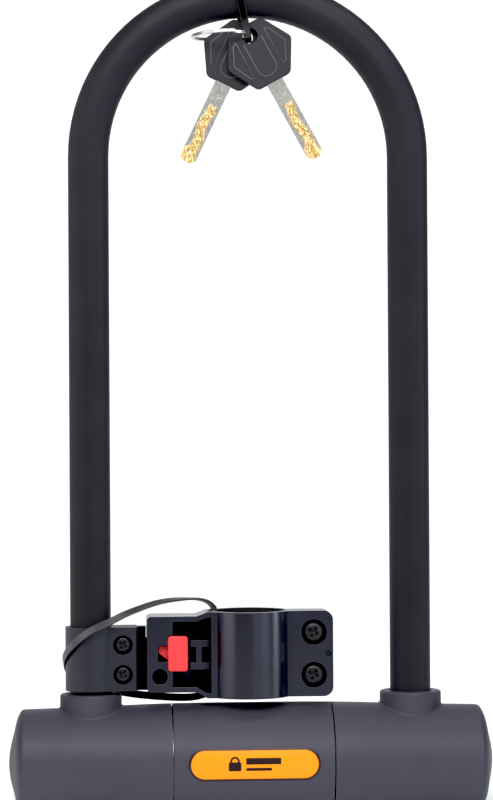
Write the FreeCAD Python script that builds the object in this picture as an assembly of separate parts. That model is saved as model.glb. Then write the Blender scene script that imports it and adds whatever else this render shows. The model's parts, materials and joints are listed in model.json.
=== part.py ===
"""Keyed U lock with carrying bracket, spare keys and split ring.

Row frame in millimetres: X along the crossbar, -Y front, +Z up. The origin is the middle
of the flat land under the crossbar. Heights called zc + h are measured from the crossbar axis.
"""
import FreeCAD, Part
import math
import os

V = FreeCAD.Vector
X_AXIS = V(1, 0, 0)
Y_AXIS = V(0, 1, 0)
Z_AXIS = V(0, 0, 1)

# ---- crossbar ----
zc = 19.5                 # crossbar axis above the land
bar_half = 90.0           # half length over the domed ends
tube_r = 17.0
tube_bore_r = 14.0
tube_half = 86.0
seam_x = 29.4             # joint between the centre sleeve and the end covers
seam_gap = 0.45
barrel = [(0, 21.5), (seam_x, 21.35), (46, 20.9), (60, 20.4), (73, 20.05), (84, 19.75)]
dome = [(85.0, 19.5), (85.9, 18.5), (87.9, 12.2), (89.4, 6.0), (90.0, 0.0)]

# ---- shackle ----
leg_x = 59.6
core_r = 6.0
coat_r = 7.55
arch_h = 224.7            # height of the arch centre above the crossbar axis
foot_h = -10.5
coat_foot_h = 18.5
notch_depth = 5.7
notch_half_h = 3.6

# ---- bosses round the legs ----
boss_r = 11.45
boss_h = 25.45
boss_bore_r = 7.9
seal_r = 8.9
seal_bore_r = 7.85
seal_h0 = 19.0
seal_h1 = 24.0

# ---- badge on the centre sleeve ----
badge_len = 48.3
badge_tall = 12.0
badge_up = 0.9             # middle of the badge above the crossbar axis
badge_rim_w = 0.8
badge_h = 0.8

# ---- lock ----
housing_r = 9.0
plug_r = 5.8
plug_fit = 0.05
housing_z0 = 2.7
housing_top_h = 7.0
gear_module = 0.7
gear_teeth = 12
gear_angle = math.radians(25.0)
gear_backlash = 0.14
gear_h0 = 7.9
gear_h1 = 10.3
bolt_tip_x = 52.4
bolt_half_y = 4.0
bolt_half_z = 3.2
bolt_root_x = 14.0
guide_x0 = 40.0
guide_x1 = 46.0

# ---- collar round the left leg ----
collar_r = 9.4
collar_bore_r = 8.1
liner_bore_r = 7.61
collar_h0 = 26.7
collar_h1 = 50.3
collar_flange_x = -42.4
collar_half_y = 7.0
collar_gap = 0.3
collar_screw_x = -47.7
collar_screw_h = (32.8, 43.8)

# ---- bracket ----
bore_x = -0.85
bore_r = 12.7             # takes a 25.4 mm frame tube
pad_r = 13.7
hump_r = 15.4
hump_h0 = 24.0
hump_h1 = 55.8
socket_x0 = -38.9
socket_x1 = -13.0
socket_h0 = 26.3
socket_h1 = 54.3
socket_front_y = -9.5
socket_back_y = 9.0
flange_x1 = 30.3
flange_half_y = 6.0
split_gap = 0.4
clamp_screw_x = 23.1
clamp_screw_h = (32.0, 47.8)

# ---- keys, ring and tie under the arch ----
pivot_h = 269.5
key_pivot_x = (0.7, -0.8)
key_tilt = (28.8, -25.6)
key_y0 = (-4.2, -1.1)
key_thick = 2.8
bow_flat = 23.6
bow_corner_r = 2.4
bow_hole_r = 2.9
bow_hole_offset = 7.4
blade_w = 6.2
blade_thick = 2.0
blade_len = 32.3
ring_mid_r = 10.4
ring_wire_w = 1.3
ring_wire_t = 0.85
tie_w = 2.8
tie_t = 1.0
tie_inner_r = 7.85
tie_lean = 12.0

os.makedirs("parts", exist_ok=True)


def box(x0, x1, y0, y1, z0, z1):
    """Box between two corners, z measured from the land."""
    return Part.makeBox(x1 - x0, y1 - y0, z1 - z0, V(x0, y0, z0))


def hbox(x0, x1, y0, y1, h0, h1):
    """Box with heights measured from the crossbar axis."""
    return box(x0, x1, y0, y1, zc + h0, zc + h1)


def vcyl(r, x, y, h0, h1):
    """Upright cylinder with heights measured from the crossbar axis."""
    return Part.makeCylinder(r, h1 - h0, V(x, y, zc + h0), Z_AXIS)


def ycyl(r, x, h, y0, y1):
    """Cylinder along Y."""
    return Part.makeCylinder(r, y1 - y0, V(x, y0, zc + h), Y_AXIS)


def prism(points, direction):
    """Closed polygon pushed along a direction."""
    wire = Part.makePolygon(points + [points[0]])
    return Part.Face(wire).extrude(direction)


def xz_plate(points, y0, y1):
    """Polygon of (x, height) points given thickness along Y."""
    return prism([V(x, y0, zc + h) for x, h in points], V(0, y1 - y0, 0))


def stadium(length, width, y0, y1, cx=0.0, ch=0.0):
    """Round-ended plate, long axis along X, thickness along Y."""
    r = width / 2.0
    half = length / 2.0 - r
    body = hbox(cx - half, cx + half, y0, y1, ch - r, ch + r)
    for end in (-half, half):
        body = body.fuse(ycyl(r, cx + end, ch, y0, y1))
    return body.removeSplitter()


def stadium_z(length, width, z0, z1):
    """Round-ended plate, long axis along X, thickness along Z."""
    r = width / 2.0
    half = length / 2.0 - r
    body = box(-half, half, -r, r, z0, z1)
    for end in (-half, half):
        body = body.fuse(Part.makeCylinder(r, z1 - z0, V(end, 0, z0), Z_AXIS))
    return body.removeSplitter()


def round_edges(shape, radius, wanted):
    """Fillet the edges for which wanted(edge) is true."""
    edges = [e for e in shape.Edges if wanted(e)]
    return shape.makeFillet(radius, edges)


def along(edge, axis):
    """True for a straight edge parallel to the axis."""
    if len(edge.Vertexes) != 2:
        return False
    step = edge.Vertexes[1].Point - edge.Vertexes[0].Point
    if step.Length < 1e-6 or abs(edge.Length - step.Length) > 1e-4:
        return False
    return abs(abs(step.normalize() * axis) - 1.0) < 1e-6


def save(name, shape):
    """Write one node."""
    shape.exportStep("parts/%s.step" % name)


def mirrored_x(shape):
    return shape.mirror(V(0, 0, 0), X_AXIS)


def half_turn(shape):
    """The same shape turned 180 degrees about the lock's upright axis."""
    copy = shape.copy()
    copy.rotate(V(0, 0, 0), Z_AXIS, 180)
    return copy


# ---------------------------------------------------------------- crossbar
def barrel_solid():
    """Outside of the three covers as one solid of revolution about X."""
    pts = [V(x, 0, zc + r) for x, r in barrel]
    curve = Part.BSplineCurve()
    left = [V(-p.x, 0, p.z) for p in reversed(pts[1:])]
    curve.interpolate(left + pts)
    end = Part.BSplineCurve()
    end_pts = [pts[-1]] + [V(x, 0, zc + r) for x, r in dome]
    end.interpolate(end_pts)
    start = Part.BSplineCurve()
    start.interpolate([V(-p.x, 0, p.z) for p in reversed(end_pts)])
    axis = Part.LineSegment(V(bar_half, 0, zc), V(-bar_half, 0, zc))
    wire = Part.Wire([start.toShape(), curve.toShape(), end.toShape(), axis.toShape()])
    body = Part.Face(wire).revolve(V(0, 0, zc), X_AXIS, 360)
    solid = Part.Solid(body.Shells[0]) if not body.Solids else body.Solids[0]
    if solid.Volume < 0:
        solid.reverse()
    return solid


barrel_body = barrel_solid()
below_land = box(-100, 100, -30, 30, -10, 0)
tube_space = Part.makeCylinder(tube_r, 2 * tube_half, V(-tube_half, 0, zc), X_AXIS)
sleeve_stock = barrel_body.cut(below_land).cut(tube_space)

tube = tube_space.cut(Part.makeCylinder(tube_bore_r, 2 * tube_half, V(-tube_half, 0, zc), X_AXIS))
for x in (-leg_x, leg_x):
    tube = tube.cut(vcyl(core_r + 0.35, x, 0, 8, 20))
tube = tube.cut(vcyl(housing_r, 0, 0, -20, -8))
save("crossbar_tube", tube)

plug_disc = Part.makeCylinder(tube_bore_r, 5.0, V(80.5, 0, zc), X_AXIS)
plug_disc = plug_disc.cut(Part.makeCylinder(6.0, 2.0, V(80.5, 0, zc), X_AXIS))
save("end_plug_right", plug_disc)
save("end_plug_left", mirrored_x(plug_disc))


def round_boss_foot(edge):
    """True for the wavy edge where the boss leaves the cover."""
    if edge.Length < 5 or edge.BoundBox.ZMax > zc + boss_h - 2 or edge.BoundBox.ZMin < zc + 14:
        return False
    for v in (edge.valueAt(edge.FirstParameter), edge.valueAt(edge.LastParameter)):
        if abs(math.hypot(v.x - leg_x, v.y) - boss_r) > 0.01:
            return False
    return True


def end_cover():
    """Right end cover with the boss round the leg."""
    stock = sleeve_stock.common(box(seam_x + seam_gap, 100, -40, 40, -10, 60))
    boss = vcyl(boss_r, leg_x, 0, 10, boss_h)
    boss = round_edges(boss, 1.0, lambda e: e.BoundBox.ZMin > zc + boss_h - 0.01)
    body = stock.fuse(boss)
    body = round_edges(body, 0.9, round_boss_foot).cut(tube_space)
    body = body.cut(vcyl(boss_bore_r, leg_x, 0, 10, 30))
    return body.cut(vcyl(seal_r, leg_x, 0, seal_h0, seal_h1)).removeSplitter()


cover = end_cover()
save("cover_right", cover)
save("cover_left", mirrored_x(cover))
seal = vcyl(seal_r, leg_x, 0, seal_h0, seal_h1).cut(vcyl(seal_bore_r, leg_x, 0, seal_h0, seal_h1))
save("shackle_seal_right", seal)
save("shackle_seal_left", mirrored_x(seal))

# centre sleeve, badge and keyhole plate
plate_len = 49.0
plate_wide = 14.0
plate_z0 = 0.4
plate_z1 = 2.5
badge_front = -30.0
rim_prism = stadium(badge_len, badge_tall, badge_front, -10.0, 0.0, badge_up)
inner_len = badge_len - 2 * badge_rim_w
inner_tall = badge_tall - 2 * badge_rim_w
inner_prism = stadium(inner_len, inner_tall, badge_front, -10.0, 0.0, badge_up)
badge_r = 21.5
badge_out = Part.makeCylinder(badge_r, 60, V(-30, 0, zc), X_AXIS)
badge_face = Part.makeCylinder(badge_r - 0.15, 60, V(-30, 0, zc), X_AXIS)
badge_in = Part.makeCylinder(badge_r - badge_h, 60, V(-30, 0, zc), X_AXIS)

centre = sleeve_stock.common(box(-seam_x, seam_x, -40, 40, -10, 60))
centre = centre.cut(rim_prism.cut(badge_in))
centre = centre.cut(stadium_z(plate_len, plate_wide, -1, 3.0))
centre = centre.cut(vcyl(housing_r, 0, 0, -20, -10))
save("cover_centre", centre)
rim = badge_out.cut(badge_in).common(rim_prism).cut(inner_prism)
save("badge_rim", rim)
save("badge_plate", badge_face.cut(badge_in).common(inner_prism))

slot_reach = 20.5
kplate = stadium_z(plate_len, plate_wide, plate_z0, plate_z1)
kplate = kplate.cut(Part.makeCylinder(5.2, 5, V(0, 0, -1), Z_AXIS))
kplate = kplate.cut(box(-7.2, slot_reach, -5.7, 5.7, 0.95, 1.95))
kplate = kplate.cut(box(-7.2, slot_reach, -4.5, 4.5, -1, 1.0))
save("keyhole_plate", kplate)
dust = box(-7.0, 6.9, -5.5, 5.5, 1.05, 1.85)
for i in range(3):
    dust = dust.fuse(box(3.0 + 1.3 * i, 3.7 + 1.3 * i, -3.6, 3.6, 0.55, 1.1))
save("dust_cover", dust.removeSplitter())

# ---------------------------------------------------------------- lock cylinder
housing = Part.makeCylinder(housing_r, zc + housing_top_h - housing_z0, V(0, 0, housing_z0), Z_AXIS)
housing = housing.cut(Part.makeCylinder(plug_r + plug_fit, 60, V(0, 0, -5), Z_AXIS))
clip_h0 = -12.6
clip_ring = vcyl(10.6, 0, 0, clip_h0, clip_h0 + 1.2).cut(vcyl(8.2, 0, 0, clip_h0, clip_h0 + 1.2))
housing = housing.cut(clip_ring)
clip_ring = clip_ring.cut(hbox(-2.2, 2.2, 0, 12, clip_h0 - 1, clip_h0 + 3))
clip_room = Part.makeCylinder(tube_bore_r, 60, V(-30, 0, zc), X_AXIS)
save("cylinder_housing", housing)
save("cylinder_clip", clip_ring.common(clip_room))


def involute(angle):
    return math.tan(angle) - angle


def gear_outline():
    """Points round a stub-tooth pinion with a tooth centred on the X axis."""
    pitch_r = gear_module * gear_teeth / 2.0
    base_r = pitch_r * math.cos(gear_angle)
    tip_r = pitch_r + 0.8 * gear_module
    root_r = pitch_r - 1.05 * gear_module
    half = (math.pi * gear_module / 2.0 - gear_backlash) / (2.0 * pitch_r)
    half_base = half + involute(gear_angle)
    flank = [(root_r, half_base)]
    steps = 7
    for i in range(steps + 1):
        r = base_r + (tip_r - base_r) * i / steps
        flank.append((r, half_base - involute(math.acos(min(1.0, base_r / r)))))
    points = []
    for tooth in range(gear_teeth):
        mid = 2.0 * math.pi * tooth / gear_teeth
        for r, a in flank:
            points.append((r * math.cos(mid - a), r * math.sin(mid - a)))
        for r, a in reversed(flank):
            points.append((r * math.cos(mid + a), r * math.sin(mid + a)))
    return points


gear = prism([V(x, y, zc + gear_h0) for x, y in gear_outline()], V(0, 0, gear_h1 - gear_h0))
plug = Part.makeCylinder(plug_r, zc + housing_top_h - housing_z0, V(0, 0, housing_z0), Z_AXIS)
plug = plug.cut(box(-3.4, 3.4, -1.3, 1.3, 0, zc + 6.0))
plug = plug.fuse(vcyl(2.9, 0, 0, housing_top_h, gear_h0)).fuse(gear)
wafer_w = 9.6
wafer_d = 5.6
wafers = []
for i in range(6):
    h = -11.5 + 2.6 * i
    pocket = hbox(-wafer_w / 2, wafer_w / 2, -wafer_d / 2, wafer_d / 2, h, h + 0.8)
    plug = plug.cut(pocket)
    window = hbox(-3.35, 3.35, -1.2, 1.2, h - 1, h + 2)
    wafers.append(pocket.cut(window))
save("lock_plug", plug.removeSplitter())
save("wafers", Part.makeCompound(wafers))


def rack(length_left, length_right):
    """Front rack, teeth facing +Y, meeting the pinion at its front."""
    pitch_r = gear_module * gear_teeth / 2.0
    pitch = math.pi * gear_module
    tan_a = math.tan(gear_angle)
    root = -pitch_r - 1.05 * gear_module
    tip = -pitch_r + 0.8 * gear_module
    half = (pitch / 2.0 - gear_backlash) / 2.0
    root_half = half + (-pitch_r - root) * tan_a
    tip_half = half - (tip + pitch_r) * tan_a
    pts = [(-length_left, -7.6), (-length_left, root)]
    first = int(math.ceil((-length_left + root_half) / pitch - 0.5))
    last = int(math.floor((length_right - root_half) / pitch - 0.5))
    for k in range(first, last + 1):
        mid = (k + 0.5) * pitch
        pts += [(mid - root_half, root), (mid - tip_half, tip)]
        pts += [(mid + tip_half, tip), (mid + root_half, root)]
    pts += [(length_right, root), (length_right, -7.6)]
    base = zc + gear_h0
    return prism([V(x, y, base) for x, y in pts], V(0, 0, gear_h1 - gear_h0))


bolt = hbox(bolt_root_x, bolt_tip_x, -bolt_half_y, bolt_half_y, -bolt_half_z, bolt_half_z)
bolt = bolt.makeChamfer(0.8, [e for e in bolt.Edges if e.BoundBox.XMin > bolt_tip_x - 0.01])
riser = hbox(bolt_root_x, bolt_root_x + 4.0, -7.6, bolt_half_y, -bolt_half_z, gear_h1)
rack_back = hbox(4.4, bolt_root_x, -7.6, -4.94, gear_h0, gear_h1)
bolt = bolt.fuse(riser).fuse(rack(10.2, 4.4)).fuse(rack_back)
bolt = bolt.removeSplitter()
save("right_bolt", bolt)
save("left_bolt", half_turn(bolt))
guide = Part.makeCylinder(tube_bore_r, guide_x1 - guide_x0, V(guide_x0, 0, zc), X_AXIS)
guide = guide.cut(hbox(guide_x0 - 1, guide_x1 + 1, -4.3, 4.3, -3.5, 3.5))
save("bolt_guide_right", guide)
save("bolt_guide_left", mirrored_x(guide))


# ---------------------------------------------------------------- shackle
def u_bar(r, foot):
    """U of round bar with its feet at the given height."""
    legs = [vcyl(r, x, 0, foot, arch_h) for x in (-leg_x, leg_x)]
    arch = Part.makeTorus(leg_x, r, V(0, 0, 0), Z_AXIS, -180, 180, 180)
    arch.rotate(V(0, 0, 0), X_AXIS, 90)
    arch.translate(V(0, 0, zc + arch_h))
    if arch.BoundBox.ZMin < zc + arch_h - 1.0:
        arch.rotate(V(0, 0, zc + arch_h), Y_AXIS, 180)
    return legs[0].fuse(legs[1]).fuse(arch).removeSplitter()


core = u_bar(core_r, foot_h)
foot_edges = [e for e in core.Edges if e.BoundBox.ZMax < zc + foot_h + 0.01]
core = core.makeChamfer(1.4, foot_edges)
coating = u_bar(coat_r, coat_foot_h).cut(u_bar(core_r, foot_h))
for side in (-1, 1):
    inner = side * (leg_x - core_r)
    deep = side * (leg_x - core_r + notch_depth)
    notch_x0 = min(inner - side, deep)
    notch_x1 = max(inner - side, deep)
    core = core.cut(hbox(notch_x0, notch_x1, -8, 8, -notch_half_h, notch_half_h))
save("shackle_core", core)
save("shackle_coating", coating)

# ---------------------------------------------------------------- key tie
tie_bottom = pivot_h - 1.3
tie_top_h = arch_h + leg_x + 0.25


def tie_outline(grow):
    """Outline of the tie loop in the YZ plane: round over the bar, squarish below."""
    r = tie_inner_r + grow
    low = tie_bottom + tie_t - grow
    corner = 2.0 + grow
    arc = math.sqrt(0.5)
    a = V(0, -r, zc + tie_top_h)
    b = V(0, r, zc + tie_top_h)
    c = V(0, r, zc + low + corner)
    d = V(0, r - corner, zc + low)
    e = V(0, -r + corner, zc + low)
    f = V(0, -r, zc + low + corner)
    top = Part.Arc(a, V(0, 0, zc + tie_top_h + r), b)
    right = Part.Arc(c, V(0, r - corner + corner * arc, zc + low + corner - corner * arc), d)
    left = Part.Arc(e, V(0, -r + corner - corner * arc, zc + low + corner - corner * arc), f)
    sides = [Part.LineSegment(b, c), Part.LineSegment(d, e), Part.LineSegment(f, a)]
    edges = [top, sides[0], right, sides[1], left, sides[2]]
    wire = Part.Wire([s.toShape() for s in edges])
    face = Part.Face(wire)
    face.translate(V(-tie_w / 2, 0, 0))
    return face.extrude(V(tie_w, 0, 0))


tie = tie_outline(tie_t).cut(tie_outline(0.0))
head_h = tie_top_h - 2.0
head_y0 = tie_inner_r + tie_t
head = hbox(-2.3, 2.3, head_y0, head_y0 + 2.6, head_h - 2.3, head_h + 2.3)
head = round_edges(head, 0.5, lambda e: along(e, Y_AXIS))
tail = hbox(-tie_w / 2, tie_w / 2, head_y0 + 2.6, head_y0 + 5.4, head_h - 0.5, head_h + 0.5)
tie_parts = [("key_tie", tie), ("key_tie_head", head.fuse(tail))]
for name, shape in tie_parts:
    shape.rotate(V(0, 0, zc + tie_bottom), Y_AXIS, -tie_lean)
    save(name, shape)


# ---------------------------------------------------------------- keys
def groove(points, width, face_y, depth):
    """Shallow groove along a polyline of (x, z) points on a face normal to Y."""
    cutter = None
    y0 = min(face_y, face_y + depth)
    for (x0, z0), (x1, z1) in zip(points[:-1], points[1:]):
        length = math.hypot(x1 - x0, z1 - z0)
        angle = math.degrees(math.atan2(z1 - z0, x1 - x0))
        piece = Part.makeBox(length, abs(depth), width, V(0, y0, -width / 2))
        piece.rotate(V(0, 0, 0), Y_AXIS, -angle)
        piece.translate(V(x0, 0, z0))
        joint = Part.makeCylinder(width / 2, abs(depth), V(x1, y0, z1), Y_AXIS)
        cutter = piece.fuse(joint) if cutter is None else cutter.fuse(piece).fuse(joint)
    return cutter


def make_key():
    """Key hanging straight down from its hole at the origin, thickness centred on Y = 0."""
    bow_z = -bow_hole_offset
    corner = bow_flat / math.sqrt(3.0)
    pts = []
    for i in range(6):
        a = math.radians(60 * i)
        pts.append(V(corner * math.cos(a), -key_thick / 2, bow_z + corner * math.sin(a)))
    bow = prism(pts, V(0, key_thick, 0))
    bow = round_edges(bow, bow_corner_r, lambda e: along(e, Y_AXIS))
    outer = [e for e in bow.Edges if abs(e.BoundBox.YMax - e.BoundBox.YMin) < 1e-6]
    bow = bow.makeChamfer(0.35, outer)
    bow = bow.cut(Part.makeCylinder(bow_hole_r, 10, V(0, -5, 0), Y_AXIS))
    half = bow_flat / 2.0
    left_line = [(-3.7, bow_z + 5.6), (-3.7, bow_z - 6.0), (-2.6, bow_z - 8.2), (0, bow_z - 9.0)]
    right_line = [(-x, z) for x, z in left_line]
    side = [(6.0, bow_z + 7.6), (6.0, bow_z - 7.6), (7.6, bow_z - 6.6)]
    side += [(10.8, bow_z), (7.6, bow_z + 6.6), (6.0, bow_z + 7.6)]
    other = [(-x, z) for x, z in side]
    for face_y, depth in ((-key_thick / 2, 0.3), (key_thick / 2, -0.3)):
        for line in (left_line, right_line, side, other):
            bow = bow.cut(groove(line, 0.5, face_y, depth))
    top = bow_z - half
    tip = top - blade_len
    w = blade_w / 2
    outline = [(-w, top + 6.0), (-w, tip + 1.7), (-w + 1.7, tip)]
    outline += [(w - 1.7, tip), (w, tip + 1.7), (w, top + 6.0)]
    blade = prism([V(x, -blade_thick / 2, z) for x, z in outline], V(0, blade_thick, 0))
    bow = bow.cut(blade)
    track = [(1.0, top - 11.0), (0.2, top - 14.0), (-1.3, top - 17.0), (-0.6, top - 20.0)]
    track += [(1.2, top - 23.0), (0.9, top - 26.0), (-0.9, top - 29.0), (-0.4, tip - 1.0)]
    for face_y, depth in ((-blade_thick / 2, 0.55), (blade_thick / 2, -0.55)):
        blade = blade.cut(groove(track, 1.7, face_y, depth))
    return bow.removeSplitter(), blade.removeSplitter()


for number in (0, 1):
    for name, shape in zip(("bow", "blade"), make_key()):
        shape.rotate(V(0, 0, 0), Y_AXIS, -key_tilt[number])
        shape.translate(V(key_pivot_x[number], key_y0[number] + key_thick / 2, zc + pivot_h))
        save("key_%d_%s" % (number + 1, name), shape)

# split ring: two flat coils and the step that joins them
ring_cx = 0.3 - ring_mid_r
ring_cy = -0.3
ring_h = pivot_h + 1.4
ring_tilt = 3.6
coils = []
for level in (-ring_wire_t - 0.05, 0.05):
    low, high = ring_h + level, ring_h + level + ring_wire_t
    outer = vcyl(ring_mid_r + ring_wire_w / 2, ring_cx, ring_cy, low, high)
    inner = vcyl(ring_mid_r - ring_wire_w / 2, ring_cx, ring_cy, low, high)
    coils.append(outer.cut(inner))
step_x = ring_cx - ring_mid_r
step = hbox(step_x - 1, step_x + 1, ring_cy, ring_cy + 2.5, ring_h - ring_wire_t, ring_h + ring_wire_t)
wall = vcyl(ring_mid_r + ring_wire_w / 2, ring_cx, ring_cy, ring_h - 0.1, ring_h + 0.1)
wall = wall.cut(vcyl(ring_mid_r - ring_wire_w / 2, ring_cx, ring_cy, ring_h - 0.1, ring_h + 0.1))
ring = coils[0].fuse(coils[1]).fuse(wall.common(step)).removeSplitter()
ring.rotate(V(0.3, 0, zc + ring_h), Y_AXIS, -ring_tilt)
save("split_ring", ring)


# ---------------------------------------------------------------- collar
def collar_half(front):
    """One half of the collar clamped round the left leg."""
    body = vcyl(collar_r, -leg_x, 0, collar_h0, collar_h1)
    flange = hbox(-leg_x, collar_flange_x, -collar_half_y, collar_half_y, collar_h0, collar_h1)
    flange = round_edges(flange, 1.0, lambda e: along(e, Z_AXIS) and e.BoundBox.XMax > collar_flange_x - 0.1)
    body = body.fuse(flange).cut(vcyl(collar_bore_r, -leg_x, 0, 0, 60))
    if front:
        body = body.common(hbox(-80, -30, -20, -collar_gap, 0, 60))
    else:
        body = body.common(hbox(-80, -30, collar_gap, 20, 0, 60))
    for h in collar_screw_h:
        body = body.cut(ycyl(1.55, collar_screw_x, h, -10, 10))
        if front:
            body = body.cut(ycyl(3.55, collar_screw_x, h, -10, -collar_half_y + 2.6))
        else:
            body = body.cut(hex_nut(collar_screw_x, h, 2.75, collar_half_y - 2.4, 10))
    return body.removeSplitter()


def hex_nut(x, h, flat_r, y0, y1):
    """Hexagon along Y, flat_r to its flats."""
    corner = flat_r / math.cos(math.radians(30))
    pts = []
    for i in range(6):
        a = math.radians(60 * i + 30)
        pts.append((x + corner * math.cos(a), h + corner * math.sin(a)))
    return xz_plate(pts, y0, y1)


def cross_screw(x, h, shank_r, head_r, head_y0, head_t, end_y):
    """Pan-head screw along Y with a cross recess."""
    head = ycyl(head_r, x, h, head_y0, head_y0 + head_t)
    head = round_edges(head, head_t * 0.4, lambda e: e.BoundBox.YMax < head_y0 + 0.01)
    body = head.fuse(ycyl(shank_r, x, h, head_y0 + head_t, end_y))
    arm = head_r * 0.62
    depth = head_t * 0.6
    body = body.cut(hbox(x - arm, x + arm, head_y0 - 1, head_y0 + depth, h - 0.4, h + 0.4))
    return body.cut(hbox(x - 0.4, x + 0.4, head_y0 - 1, head_y0 + depth, h - arm, h + arm))


rail_head = (-36.0, -33.0)
rail_h0 = 28.0
rail_h1 = 46.0
neck = hbox(collar_flange_x, rail_head[0], -2.6, 2.6, collar_h0, collar_h1)
neck_low = hbox(socket_x0 - 0.3, rail_head[0], -3, 3, rail_h1, collar_h1 + 1)
t_head = hbox(rail_head[0], rail_head[1], -5.0, 5.0, rail_h0, rail_h1)
catch_room = hbox(-34.9, rail_head[1], -5.0, -1.8, 33.0, rail_h1)
rail = neck.cut(neck_low).fuse(t_head.cut(catch_room))
save("collar_front", collar_half(True))
save("collar_rear", collar_half(False).fuse(rail).removeSplitter())
save("rail_catch", hbox(-34.9, rail_head[1], -5.0, -1.8, 43.6, rail_h1))
liner = vcyl(collar_bore_r, -leg_x, 0, collar_h0, collar_h1).cut(vcyl(liner_bore_r, -leg_x, 0, 0, 60))
save("collar_liner", liner.cut(hbox(-leg_x, -40, -collar_gap, collar_gap, 0, 60)))
for name, h in zip(("lower", "upper"), collar_screw_h):
    screw = cross_screw(collar_screw_x, h, 1.5, 3.05, -collar_half_y + 0.8, 1.8, collar_half_y - 0.4)
    nut = hex_nut(collar_screw_x, h, 2.75, collar_half_y - 2.4, collar_half_y - 0.4)
    save("collar_screw_" + name, screw)
    save("collar_nut_" + name, nut.cut(ycyl(1.5, collar_screw_x, h, 0, 10)))

# ---------------------------------------------------------------- bracket
tooth_h0 = 38.0
tooth_h1 = 43.3
button_h0 = 34.25
button_h1 = 47.2
channel = hbox(rail_head[0] - 0.3, rail_head[1] + 0.4, -5.3, 5.3, 0, rail_h1 + 0.05)
neck_slot = hbox(socket_x0 - 1, rail_head[0] + 0.1, -2.9, 2.9, 0, rail_h1 + 0.05)


def socket_profile(x0, x1, inset):
    """Side view outline of the socket, flaring up and down to the hump."""
    top = socket_h1 - inset
    low = socket_h0 + inset
    flare_top = hump_h1 - inset
    flare_low = hump_h0 + inset
    lower = [(x0, low), (-20.6, low), (-16.6, flare_low), (x1, flare_low)]
    return lower + [(x1, flare_top), (-16.6, flare_top), (-20.6, top), (x0, top)]


def bracket_shell(front):
    """One half of the bracket body before its screw holes."""
    if front:
        y0, y1 = -30.0, -split_gap
        sock_y0, sock_y1 = socket_front_y, -split_gap
    else:
        y0, y1 = split_gap, 30.0
        sock_y0, sock_y1 = split_gap, socket_back_y
    hump = vcyl(hump_r, bore_x, 0, hump_h0, hump_h1)
    flange = hbox(10, flange_x1, -flange_half_y, flange_half_y, hump_h0, hump_h1)
    flange = round_edges(flange, 3.6, lambda e: along(e, Y_AXIS) and e.BoundBox.XMin > flange_x1 - 0.1)
    body = hump.fuse(flange).common(hbox(-60, 60, y0, y1, 0, 80))
    socket = xz_plate(socket_profile(socket_x0, socket_x1, 0.0), sock_y0, sock_y1)
    socket = round_edges(socket, 1.5, lambda e: along(e, Y_AXIS) and e.BoundBox.XMax < socket_x0 + 0.1)
    body = body.fuse(socket).cut(vcyl(pad_r, bore_x, 0, 0, 80))
    return body.cut(channel).cut(neck_slot)


front = bracket_shell(True)
cavity = xz_plate(socket_profile(-29.4, -15.2, 2.0), -40, -1.8)
cavity = cavity.cut(vcyl(hump_r, bore_x, 0, 0, 80))
h_top = hbox(-22.9, -15.0, -6.2, -1.0, 42.7, 45.4)
h_low = hbox(-22.9, -15.0, -6.2, -1.0, 34.4, 37.1)
h_web = hbox(-20.8, -18.5, -6.2, -1.0, 36.0, 44.0)
ribs = h_top.fuse(h_low).fuse(h_web).cut(vcyl(pad_r + 0.5, bore_x, 0, 0, 80))
front = front.cut(cavity).fuse(ribs)
front = front.cut(hbox(-34.8, -28.0, -12, -1.5, tooth_h0 - 0.3, tooth_h1 + 0.35))
front = front.cut(ycyl(2.8, -34.2, 32.2, -12, -5.2))
front = front.cut(ycyl(1.1, 28.4, 39.9, -8, -flange_half_y + 0.6))
rear = bracket_shell(False)
for h in clamp_screw_h:
    front = front.cut(ycyl(2.1, clamp_screw_x, h, -10, 0))
    front = front.cut(ycyl(4.7, clamp_screw_x, h, -10, -flange_half_y + 2.6))
    rear = rear.cut(ycyl(2.1, clamp_screw_x, h, 0, 10))
    rear = rear.cut(hex_nut(clamp_screw_x, h, 3.55, flange_half_y - 3.2, 10))
front = front.removeSplitter()
rear = rear.removeSplitter()
save("bracket_front", front)
save("bracket_rear", rear)
pads = vcyl(pad_r, bore_x, 0, hump_h0, hump_h1).cut(vcyl(bore_r, bore_x, 0, 0, 80))
save("clamp_pad_front", pads.common(hbox(-60, 60, -30, -split_gap, 0, 80)))
save("clamp_pad_rear", pads.common(hbox(-60, 60, split_gap, 30, 0, 80)))
for name, h in zip(("lower", "upper"), clamp_screw_h):
    screw = cross_screw(clamp_screw_x, h, 2.0, 3.8, -flange_half_y + 0.4, 2.2, flange_half_y - 0.4)
    nut = hex_nut(clamp_screw_x, h, 3.5, flange_half_y - 3.2, flange_half_y - 0.4)
    save("clamp_screw_" + name, screw)
    save("clamp_nut_" + name, nut.cut(ycyl(2.0, clamp_screw_x, h, 0, 10)))

# release button: head in front of the socket, stem inside it, tooth pointing left
head = hbox(-31.2, -23.9, -12.0, -9.8, button_h0, button_h1)
head = round_edges(head, 1.2, lambda e: along(e, Y_AXIS))
head = round_edges(head, 0.6, lambda e: e.BoundBox.YMax < -11.99)
stem = hbox(-28.9, -24.2, -9.9, -6.5, 35.0, 46.5)
tooth_side = [(-34.5, 40.6), (-31.0, tooth_h0), (-28.8, tooth_h0)]
tooth_side += [(-28.8, tooth_h1), (-34.5, tooth_h1)]
tooth = xz_plate(tooth_side, -7.2, -2.2)
button = head.fuse(stem).fuse(tooth).removeSplitter()
save("release_button", button)

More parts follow.
